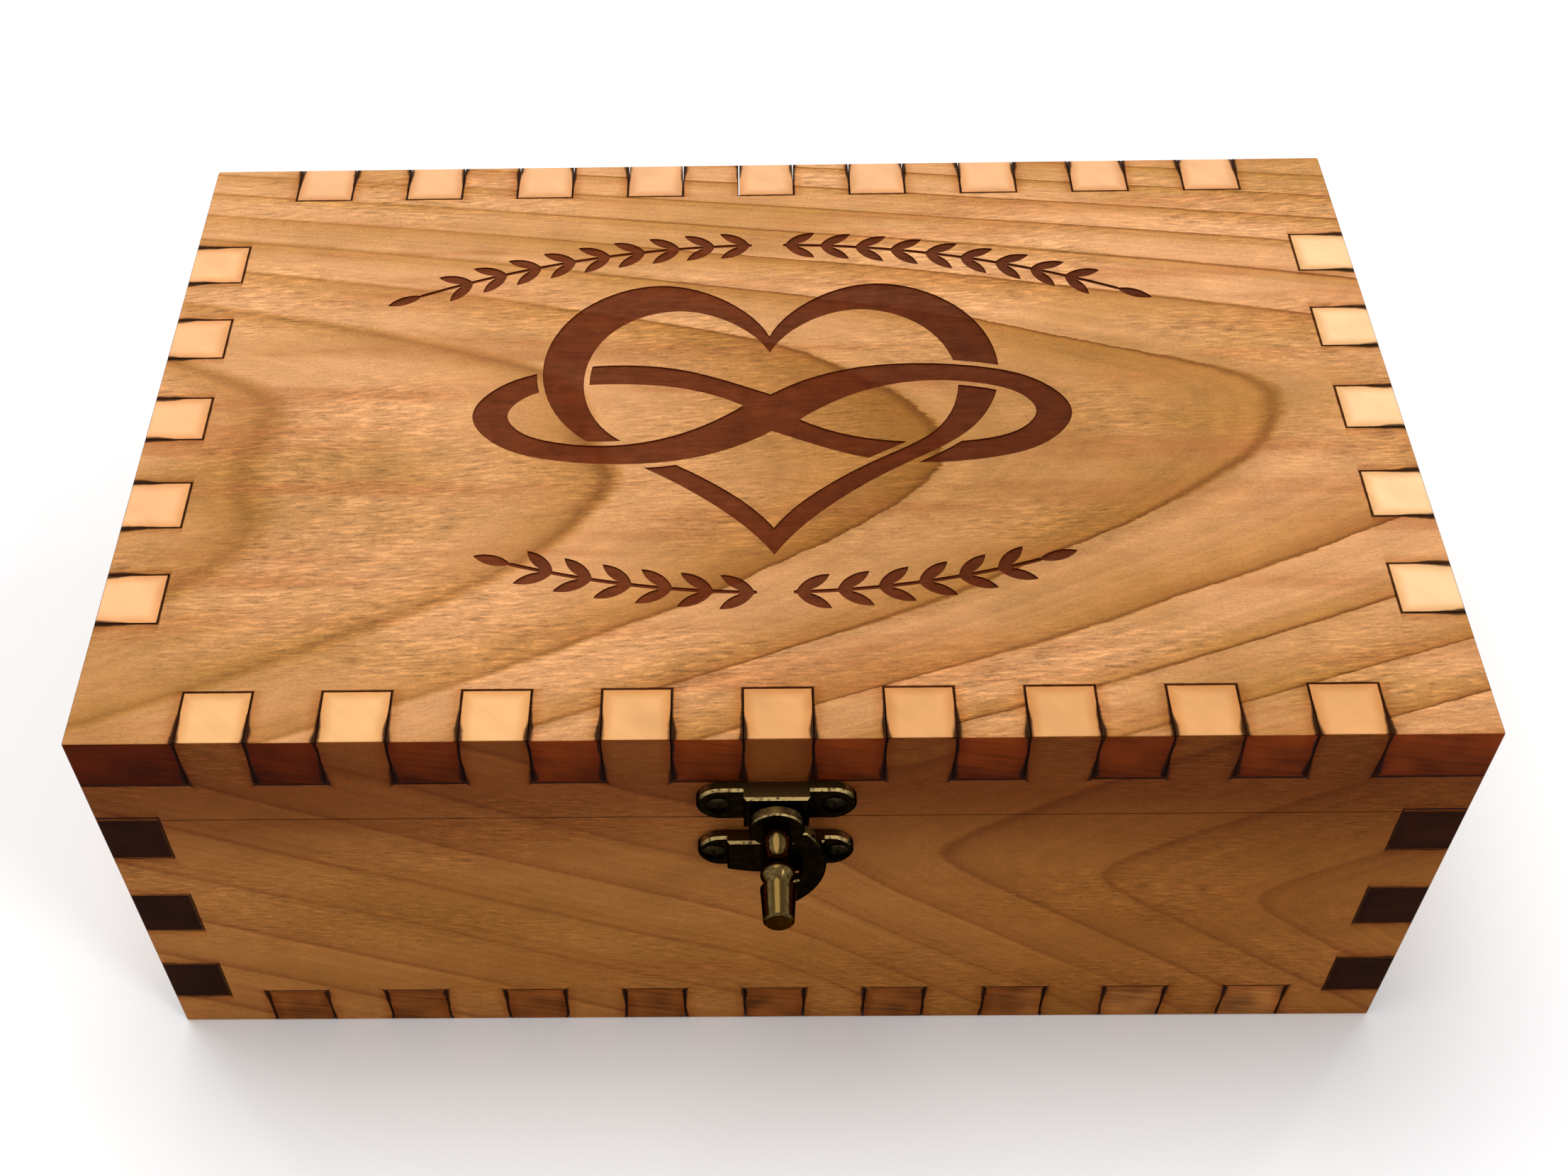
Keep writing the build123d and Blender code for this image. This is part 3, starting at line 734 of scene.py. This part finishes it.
@dataclass(frozen=True)
class Spot:
    """A soft oval cloud of darker wood, seen from above."""

    centre: Span
    reach: Span
    tint: Colour
    core: float = 0.2

    def apply(self, net: BoardWiring, colour: Socket) -> Socket:
        """Tints a colour.

        Args:
            net: The board's wiring.
            colour: The colour without the cloud.

        Returns:
            The tinted colour.
        """
        x, y = (
            net.math("DIVIDE", net.minus(part, middle), reach)
            for part, middle, reach in zip(net.axes, self.centre, self.reach)
        )
        squares = net.plus(net.times(x, x), net.times(y, y))
        share = net.ramp(net.math("SQRT", squares), 1.0, self.core)
        return net.mix(share, colour, self.tint, "MULTIPLY")


@dataclass(frozen=True)
class Tones:
    """The colours of one board, from the light early wood to the late-wood lines."""

    light: Colour
    middle: Colour
    late: Colour
    line: Colour
    olive: Colour
    rose: Colour
    line_strength: float = 0.7
    line_width: float = 0.05
    fleck: float = 1.0
    early_span: Span = (0.0, 0.55)
    late_span: Span = (0.45, 1.0)
    olive_patches: tuple[float, float, Span] = (0.4, 0.026, (-0.12, 0.2))
    rose_streaks: tuple[float, float, Span] = (0.1, 0.11, (0.0, 0.22))
    patch_share: float = 0.6
    shadings: tuple[Shading, ...] = ()
    spots: tuple[Spot, ...] = ()

    def apply(self, net: Wiring, grain: Sockets, along: Socket, across: Socket,
              seeded: Socket) -> Socket:
        """Colours the rings and lays olive and rose patches over them.

        Args:
            net: The material's wiring.
            grain: The outputs of the grain's group.
            along: The place along the board.
            across: The place across the board.
            seeded: The place in the board's thickness, with the board's seed.

        Returns:
            The wood's colour.
        """
        early = net.ramp(grain["Tone"], *self.early_span)
        late = net.ramp(grain["Tone"], *self.late_span)
        colour = net.mix(early, self.light, self.middle)
        colour = net.mix(late, colour, self.late)
        patches = ((self.olive_patches, self.olive), (self.rose_streaks, self.rose))
        for (draw, scale, span), tint in patches:
            patch = net.drawn_out(along, draw, across, seeded)
            patch = net.ramp(net.noise(patch, scale, 3.0, 0.6), *span)
            colour = net.mix(net.times(patch, self.patch_share), colour, tint)
        return net.mix(net.times(grain["Line"], self.line_strength), colour, self.line)


@dataclass(frozen=True)
class EndGrain:
    """A board's cut ends: browned end grain, and pale sawn fingers on the box's top and base."""

    colour: Colour
    pale: Colour | None = None
    shadings: tuple[Shading, ...] = ()
    pale_shadings: tuple[Shading, ...] = ()
    layer_slope: float = 0.16
    layer_draw: float = 0.05
    layer_scale: float = 0.9
    layer_depth: float = 1.3
    cloud_scale: float = 0.12
    cloud_depth: float = 1.2
    root_lift: float = 0.12
    root_dip: float = -0.45
    contrast: float = 0.9
    darkest: float = 0.2
    pale_contrast: float = 0.2
    pale_level: float = 0.98
    end_span: Span = (0.6, 0.8)
    pale_span: Span = (0.74, 0.9)

    def apply(self, net: BoardWiring, face: Face, colour: Socket) -> Socket:
        """Colours the faces that look along the box's other axes.

        Args:
            net: The board's wiring.
            face: The face that the board's figure lies on.
            colour: The colour of the board's sides.

        Returns:
            The colour with the ends.
        """
        x, y, z = net.axes
        x_share, y_share, z_share = net.facing
        slant = net.plus(x, y)
        layers = net.times_plus(slant, self.layer_slope, z)
        layers = net.drawn_out(slant, self.layer_draw, layers, 0.0)
        streak = net.times(net.noise(layers, self.layer_scale, 3.0, 0.65), self.layer_depth)
        cloud = net.noise(net.point, self.cloud_scale, 1.0)
        mottle = net.times_plus(cloud, self.cloud_depth, streak)
        if face is Face.TOP:
            end = net.larger(x_share, y_share)
            height = net.joinery.height
            root = net.ramp(z, height, height - net.joinery.stock)
            lifted = net.plus(mottle, self.root_lift)
            mottle = net.times_plus(root, self.root_dip, lifted)
        else:
            end = x_share if face is Face.FRONT else y_share
        shade = net.times_plus(mottle, self.contrast, 1.0)
        shade = net.larger(shade, self.darkest)
        browned = net.scaled(self.colour, shade)
        for shading in self.shadings:
            browned = shading.apply(net, browned)
        colour = net.mix(net.ramp(end, *self.end_span), colour, browned)
        if self.pale is None:
            return colour
        shade = net.times_plus(mottle, self.pale_contrast, self.pale_level)
        pale = net.scaled(self.pale, shade)
        # The pale shadings paint light and shade onto the sawn caps.
        for shading in self.pale_shadings:
            pale = shading.apply(net, pale)
        sawn = net.on_either(Edge.TOP, Edge.BASE)
        share = net.times(net.ramp(z_share, *self.pale_span), sawn)
        return net.mix(share, colour, pale)


@dataclass(frozen=True)
class Scorching:
    """The burnt lines beside every cut, and the browned wood round them."""

    colour: Colour = srgb(24, 10, 6)
    halo_tint: Colour = (0.80, 0.66, 0.52)
    width: float = 0.40
    unevenness: float = 0.9
    uneven_scale: float = 0.35
    cover: float = 0.94
    square_on: float = 0.5

    def apply(self, net: BoardWiring, colour: Socket) -> Socket:
        """Darkens a narrow band beside every cut of the joints that the board meets.

        Args:
            net: The board's wiring.
            colour: The colour without the burnt lines.

        Returns:
            The colour with them.
        """
        joinery = net.joinery
        on_face = {
            face: net.times(
                net.above(net.facing[face.axis], self.square_on),
                net.below(net.inset[face], joinery.skin),
            )
            for face in Edge
        }
        uneven = net.noise(net.point, self.uneven_scale, 2.0)
        width = net.times_plus(uneven, self.unevenness * self.width, self.width)
        burnt: Value = 0.0
        halo: Value = 0.0
        for row in joinery.rows():
            found = JOINT.use(
                net, along=net.axes[row.axis], from_edge=net.inset[row.edge],
                middle=row.middle, pitch=joinery.pitch, finger=joinery.finger,
                half_run=row.half_run, notch=joinery.notch, sign=row.sign, scorch=width,
                outer_flare=row.outer_flare, inner_flare=row.inner_flare,
            )
            shown = on_face[row.face]
            burnt = net.larger(net.times(found["Scorch"], shown), burnt)
            halo = net.larger(net.times(found["Halo"], shown), halo)
        browned = net.mix(halo, colour, self.halo_tint, "MULTIPLY")
        return net.mix(net.times(burnt, self.cover), browned, self.colour)


@dataclass(frozen=True)
class Engraving:
    """The browned floor and walls of the shallow engraving in the top board."""

    colour: Colour = srgb(95, 37, 15)
    shallowest: float = 0.03
    deepest: float = 0.6
    margin: float = 1.0
    wood_share: float = 0.06
    # shade_span and shade_tint paint shade: the engraving darker towards the right.
    shade_span: Span = (-30.0, 70.0)
    shade_tint: Colour = (0.70, 0.70, 0.76)
    mottle_scale: float = 0.22
    streak_draw: float = 0.14
    streak_scale: float = 0.9
    contrast: float = 0.9
    level: float = 0.97

    def apply(self, net: BoardWiring, colour: Socket) -> Socket:
        """Browns the points that lie just under the top, away from its fingers.

        Args:
            net: The board's wiring.
            colour: The colour without the engraving.

        Returns:
            The colour with it.
        """
        x, y, z = net.axes
        depth = net.inset[Edge.TOP]
        rim = net.joinery.notch + self.margin
        inner = net.times(
            net.above(net.inset[Edge.SIDE], rim),
            net.above(net.inset[Edge.LONG], rim),
        )
        sunk = net.times(net.above(depth, self.shallowest), net.below(depth, self.deepest))
        cut = net.times(sunk, inner)
        mottle = net.noise(net.point, self.mottle_scale, 4.0, 0.65)
        mottle = net.times_plus(mottle, self.contrast, self.level)
        streaks = net.drawn_out(x, self.streak_draw, y, z)
        streaks = net.noise(streaks, self.streak_scale, 3.0, 0.7)
        mottle = net.times_plus(streaks, self.contrast, mottle)
        browned = net.mix(self.wood_share, self.colour, colour)
        # Painted shade: the engraving darker towards the right.
        shade = net.ramp(x, *self.shade_span)
        browned = net.mix(shade, browned, self.shade_tint, "MULTIPLY")
        return net.mix(cut, colour, net.scaled(browned, mottle))


@dataclass(frozen=True)
class CherryFinish:
    """Oiled and rubbed cherry, with the scorched ends of a hot-cut joint."""

    title: str
    joinery: Joinery
    figure: Figure
    tones: Tones
    ends: EndGrain
    engraving: Engraving | None = None
    scorching: Scorching = Scorching()
    roughness: float = 0.42
    roughness_range: float = 0.12
    ior: float = 1.15
    specular_level: float = 0.1
    bump_strength: float = 0.10
    bump_depth: float = 0.1

    def material(self) -> bpy.types.Material:
        """Builds the finish.

        Returns:
            The material.
        """
        made = bpy.data.materials.new(self.title)
        net = BoardWiring(cleared(made), self.joinery)
        colour, fibre = self.wood(net)
        colour = self.ends.apply(net, self.figure.face, colour)
        colour = self.scorching.apply(net, colour)
        if self.engraving:
            colour = self.engraving.apply(net, colour)
        bump = net.node("Bump", {
            "Height": fibre, "Strength": self.bump_strength, "Distance": self.bump_depth * MM,
        })
        net.surface(net.node("BsdfPrincipled", {
            "Base Color": colour,
            "Roughness": net.times_plus(fibre, self.roughness_range, self.roughness),
            "IOR": self.ior, "Specular IOR Level": self.specular_level,
            "Normal": bump.outputs[0],
        }))
        return made

    def wood(self, net: BoardWiring) -> tuple[Socket, Socket]:
        """Makes the bare wood.

        Args:
            net: The board's wiring.

        Returns:
            The wood's colour and the height of its fibres.
        """
        figure, tones = self.figure, self.tones
        along, across, deep = (net.axes[axis] for axis in figure.face.value)
        along = net.times(along, figure.direction)
        grain = figure.grain(net, along, across, deep, tones.line_width)
        seeded = net.plus(deep, figure.seed)
        colour = tones.apply(net, grain, along, across, seeded)
        # Painted shade: the tones' shadings darken the wood where less light falls on it.
        for shading in tones.shadings:
            colour = shading.apply(net, colour)
        for spot in tones.spots:
            colour = spot.apply(net, colour)
        uneven = net.minus(grain["Shade"], 1.0)
        shade = net.times_plus(uneven, tones.fleck, 1.0)
        return net.scaled(colour, shade), grain["Fibre"]


@dataclass(frozen=True)
class BronzeFinish:
    """Brass darkened to near black, with painted light on the faces that look up, and rubbed brass
    with a painted highlight on the edges that face up.
    """

    title: str
    dark: Colour = srgb(22, 18, 11)
    olive: Colour = srgb(40, 32, 18)
    lit: Colour = srgb(96, 76, 40)
    # bright: rubbed brass, and a painted highlight on the edges that face up.
    bright: Colour = srgb(180, 152, 98)
    edge_tint: Colour = srgb(140, 122, 92)
    roughness: float = 0.36
    roughness_range: float = 0.2
    roughness_scale: float = 2.5
    wear: float = 1.0
    olive_scale: float = 0.6
    olive_span: Span = (-0.05, 0.2)
    olive_share: float = 0.5
    upward_span: Span = (0.5, 0.95)
    upward_share: float = 0.85
    edge_span: Span = (0.97, 0.8)
    lifted_span: Span = (0.25, 0.75)
    rubbed_scale: float = 1.2
    rubbed_span: Span = (-0.25, 0.1)

    def material(self) -> bpy.types.Material:
        """Builds the finish.

        Returns:
            The material.
        """
        made = bpy.data.materials.new(self.title)
        net = Wiring(cleared(made))
        place = net.place()
        normal = net.normal()
        patch = net.ramp(net.noise(place, self.olive_scale, 3.0, 0.6), *self.olive_span)
        colour = net.mix(net.times(patch, self.olive_share), self.dark, self.olive)
        # Painted light: faces that look up take the lit colour.
        upward = net.ramp(normal[2], *self.upward_span)
        colour = net.mix(net.times(upward, self.upward_share), colour, self.lit)
        # Rubbed wear plus a painted highlight: edges that face up turn bright brass, in patches.
        x, y, z = (net.size(part) for part in normal)
        flat = net.larger(net.larger(x, y), z)
        edge = net.ramp(flat, *self.edge_span)
        lifted = net.ramp(normal[2], *self.lifted_span)
        rubbed = net.ramp(net.noise(place, self.rubbed_scale, 2.0), *self.rubbed_span)
        worn_and_highlit = net.times(net.times(edge, lifted), rubbed)
        colour = net.mix(net.times(worn_and_highlit, self.wear), colour, self.bright)
        rough = net.noise(place, self.roughness_scale, 3.0)
        net.surface(net.node("BsdfPrincipled", {
            "Base Color": colour, "Metallic": 1.0,
            "Roughness": net.times_plus(rough, self.roughness_range, self.roughness),
            "Specular Tint": self.edge_tint,
        }))
        return made


def dress(node: str, material: bpy.types.Material) -> None:
    """Gives a carried-over node its finish and reports it.

    Args:
        node: The node's name.
        material: The finish.
    """
    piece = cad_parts[node]
    piece.data.materials.clear()
    piece.data.materials.append(material)
    log.info("dressed %s in %s", node, material.name)


TOP_TONES = Tones(
    light=srgb(220, 161, 110), middle=srgb(200, 141, 84), late=srgb(166, 108, 53),
    line=srgb(108, 60, 29), olive=srgb(168, 119, 55), rose=srgb(184, 116, 68),
    line_strength=0.85, line_width=0.06,
    # Painted shade: the top board darker towards the front.
    shadings=(Shading(1, 93.0, -93.0, (0.86, 0.83, 0.78)),),
    spots=(
        Spot((28.0, -14.0), (102.0, 76.0), (0.79, 0.76, 0.66)),
        Spot((-95.0, -5.0), (60.0, 60.0), (0.94, 0.94, 0.92)),
    ),
)
WALL_TONES = Tones(
    light=srgb(168, 109, 54), middle=srgb(161, 102, 50), late=srgb(148, 90, 42),
    line=srgb(116, 64, 26), olive=srgb(146, 92, 36), rose=srgb(152, 90, 40),
    line_strength=0.50, line_width=0.10, fleck=0.85,
    shadings=(
        # Painted shade: the outer faces of the walls darker and redder from 50 mm up, fully so from
        # 90 mm.
        Shading(2, 50.0, 90.0, (0.50, 0.37, 0.33), outside=True),
        # Painted shade: the outer faces of the walls darker towards the right.
        Shading(0, -40.0, 100.0, (0.80, 0.74, 0.64), outside=True),
    ),
)


@dataclass(frozen=True)
class Boards:
    """The ten cherry boards of the body and the lid."""

    joinery: Joinery
    top_tones: Tones = TOP_TONES
    wall_tones: Tones = WALL_TONES
    red_end: Colour = srgb(108, 44, 11)
    wall_end: Colour = srgb(74, 31, 10)
    base_end: Colour = srgb(178, 112, 56)
    black_end: Colour = srgb(40, 14, 2)
    front_pale: Colour = srgb(238, 182, 122)
    back_pale: Colour = srgb(236, 180, 131)
    left_pale: Colour = srgb(244, 184, 130)
    right_pale: Colour = srgb(247, 202, 150)

    def build(self) -> None:
        """Dresses every board."""
        for finish, nodes in self.finishes():
            material = finish.material()
            for node in nodes:
                dress(node, material)

    def finishes(self) -> list[tuple[CherryFinish, tuple[str, ...]]]:
        """Lists the finishes of the boards.

        Returns:
            Each finish, with the nodes that wear it.
        """
        top = Figure(
            Face.TOP, tip_height=-14.9, tip_slope=0.152, spread_above=17.5, spread_below=27.5,
            ring_spacing=74.0, ring_offset=0.5, waver=12.0, seed=3.0, upper_fade=1.0,
            softness=1.0, soft_from=5.0, soft_to=-75.0,
        )
        front = Figure(
            Face.FRONT, direction=-1.0, tip_height=75.1, tip_slope=0.26, spread_above=10.0,
            spread_below=5.5, ring_spacing=34.0, ring_offset=1.03, waver=7.0, seed=41.0,
            knee=6.0, straight_start=-30.0, straight_end=30.0, straight_scale=1.95, softness=0.5,
        )
        back = Figure(
            Face.FRONT, tip_height=40.0, tip_slope=0.05, spread_above=14.0, spread_below=18.0,
            ring_spacing=36.0, ring_offset=0.3, waver=30.0, seed=87.0,
        )
        left = Figure(
            Face.SIDE, tip_height=55.0, tip_slope=-0.12, spread_above=12.0, spread_below=20.0,
            ring_spacing=31.0, ring_offset=0.1, waver=32.0, seed=133.0,
        )
        right = Figure(
            Face.SIDE, direction=-1.0, tip_height=36.0, tip_slope=0.10, spread_above=15.0,
            spread_below=16.0, ring_spacing=38.0, ring_offset=0.6, waver=28.0, seed=171.0,
        )
        base = Figure(
            Face.TOP, direction=-1.0, tip_height=20.0, tip_slope=-0.06, spread_above=22.0,
            spread_below=24.0, ring_spacing=52.0, ring_offset=0.4, waver=36.0, seed=213.0,
        )
        top_ends = EndGrain(
            self.red_end, shadings=(Shading(0, -50.0, -105.0, (0.55, 0.42, 0.36)),)
        )
        front_ends = EndGrain(
            self.wall_end, self.front_pale,
            # Painted sheen: the front's pale caps lighter at the left end, darker from 70 mm left of
            # the middle onwards to the right.
            pale_shadings=(Shading(0, -70.0, 0.0, (0.83, 0.75, 0.68)),),
        )
        base_ends = EndGrain(self.base_end, shadings=(Shading(0, 70.0, 50.0, (0.68, 0.55, 0.42)),))
        back_ends = EndGrain(self.wall_end, self.back_pale)
        left_ends = EndGrain(self.black_end, self.left_pale)
        right_ends = EndGrain(self.black_end, self.right_pale)
        box, walls = self.joinery, self.wall_tones
        return [
            (CherryFinish("cherry top board", box, top, self.top_tones, top_ends, Engraving()),
             ("lid_top_panel",)),
            (CherryFinish("cherry front boards", box, front, walls, front_ends),
             ("front_panel", "lid_front_strip")),
            (CherryFinish("cherry back boards", box, back, walls, back_ends),
             ("back_panel", "lid_back_strip")),
            (CherryFinish("cherry left boards", box, left, walls, left_ends),
             ("left_panel", "lid_left_strip")),
            (CherryFinish("cherry right boards", box, right, walls, right_ends),
             ("right_panel", "lid_right_strip")),
            (CherryFinish("cherry bottom board", box, base, walls, base_ends),
             ("bottom_panel",)),
        ]


@dataclass(frozen=True)
class Fittings:
    """The latch and the hinges."""

    plates: BronzeFinish = BronzeFinish("antique bronze")
    hinges: BronzeFinish = BronzeFinish("hinge bronze", lit=srgb(70, 55, 30), wear=0.35)
    screws: BronzeFinish = BronzeFinish("dark screws", lit=srgb(46, 37, 22), wear=0.3)
    knob: BronzeFinish = BronzeFinish(
        "polished bronze", dark=srgb(48, 36, 17), olive=srgb(66, 50, 24), lit=srgb(74, 57, 27),
        roughness=0.15, wear=0.25,
    )

    def build(self) -> None:
        """Dresses every metal piece."""
        plates, hinges, screws, knob = (
            finish.material() for finish in (self.plates, self.hinges, self.screws, self.knob)
        )
        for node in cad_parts:
            if node == "latch_knob":
                dress(node, knob)
            elif "screws" in node:
                dress(node, screws)
            elif node.startswith("hinge"):
                dress(node, hinges)
            elif node.startswith("latch"):
                dress(node, plates)


@dataclass(frozen=True)
class Lamp:
    """A soft square lamp: its place, its aim and its size in millimetres, and its power."""

    name: str
    place: Point
    aim: Point
    size: float
    watts: float

    def hang(self) -> None:
        """Hangs the lamp in the scene."""
        data = bpy.data.lights.new(self.name, "AREA")
        data.size = self.size * MM
        data.energy = self.watts
        lamp = bpy.data.objects.new(self.name, data)
        bpy.context.scene.collection.objects.link(lamp)
        lamp.location = Vector(self.place) * MM
        beam = Vector(self.aim) - Vector(self.place)
        lamp.rotation_euler = beam.to_track_quat("-Z", "Y").to_euler()
        log.info("hung %s", self.name)


@dataclass(frozen=True)
class Studio:
    """The pale floor, the soft lights and the camera."""

    camera_place: Point = (-7.14, -320.61, 383.60)
    camera_turn: Point = (37.8023, 1.0295, 0.2620)
    focal_pixels: float = 2667.63
    principal_point: Span = (1000.94, 1102.50)
    sensor_width: float = 36.0
    nearest: float = 0.01
    farthest: float = 30.0
    floor_half_width: float = 6000.0
    floor_colour: Colour = (0.96, 0.96, 0.96)
    floor_roughness: float = 0.9
    shadow_reach: float = 330.0
    white_reach: float = 825.0
    sky_strength: float = 0.45
    lamps: tuple[Lamp, ...] = (
        Lamp("overhead softbox", (-250, 350, 1800), (0, 0, 60), 1200, 21.0),
        Lamp("window", (650, -700, 950), (0, -60, 70), 260, 3.2),
        Lamp("left strip", (-620, 520, 540), (0, -110, 80), 90, 0.5),
        Lamp("right strip", (620, 520, 540), (0, -110, 80), 90, 0.5),
    )

    def build(self) -> None:
        """Builds the floor, the lights and the camera, and sets the colour management."""
        bpy.context.scene.view_settings.view_transform = "Standard"
        self.floor()
        self.sky()
        for lamp in self.lamps:
            lamp.hang()
        self.camera()

    def floor(self) -> None:
        """Lays a pale floor under the box, which fades to white beyond the box's shadow."""
        bpy.ops.mesh.primitive_plane_add(size=2 * self.floor_half_width * MM)
        floor = bpy.context.object
        floor.name = "floor"
        made = bpy.data.materials.new("pale floor")
        net = Wiring(cleared(made))
        matt = {"Base Color": self.floor_colour, "Roughness": self.floor_roughness}
        pale = net.node("BsdfPrincipled", matt)
        white = net.node("Emission", {"Color": WHITE, "Strength": 1.0})
        away = net.node("VectorMath", {0: net.place()}, operation="LENGTH")
        far = net.ramp(away.outputs["Value"], self.shadow_reach, self.white_reach)
        share = net.times(far, net.seen())
        net.surface(net.node("MixShader", {0: share, 1: pale.outputs[0], 2: white.outputs[0]}))
        floor.data.materials.append(made)
        log.info("floor laid")

    def sky(self) -> None:
        """Lights the box evenly, and shows white to the camera and in reflections."""
        world = bpy.data.worlds.new("studio")
        net = Wiring(cleared(world))
        bpy.context.scene.world = world
        dim = net.node("Background", {"Color": WHITE, "Strength": self.sky_strength})
        white = net.node("Background", {"Color": WHITE, "Strength": 1.0})
        both = net.node("MixShader", {0: net.seen(), 1: dim.outputs[0], 2: white.outputs[0]})
        net.surface(both, "OutputWorld")

    def camera(self) -> None:
        """Sets the camera where the photograph was taken from."""
        width, height = PHOTO_SIZE
        data = bpy.data.cameras.new("camera")
        data.sensor_width = self.sensor_width
        data.lens = self.sensor_width * self.focal_pixels / width
        data.shift_x = (width / 2 - self.principal_point[0]) / width
        data.shift_y = (self.principal_point[1] - height / 2) / width
        data.clip_start = self.nearest
        data.clip_end = self.farthest
        camera = bpy.data.objects.new("camera", data)
        bpy.context.scene.collection.objects.link(camera)
        camera.location = Vector(self.camera_place) * MM
        camera.rotation_euler = Euler([math.radians(angle) for angle in self.camera_turn])
        bpy.context.scene.camera = camera
        log.info("camera set")


def main() -> None:
    """Dresses the box and sets the studio round it."""
    logging.basicConfig(level=logging.INFO, format="%(name)s: %(message)s")
    Boards(Joinery(height=CAD_BOX[1].z / MM)).build()
    Fittings().build()
    Studio().build()


if __name__ == "__main__":
    main()
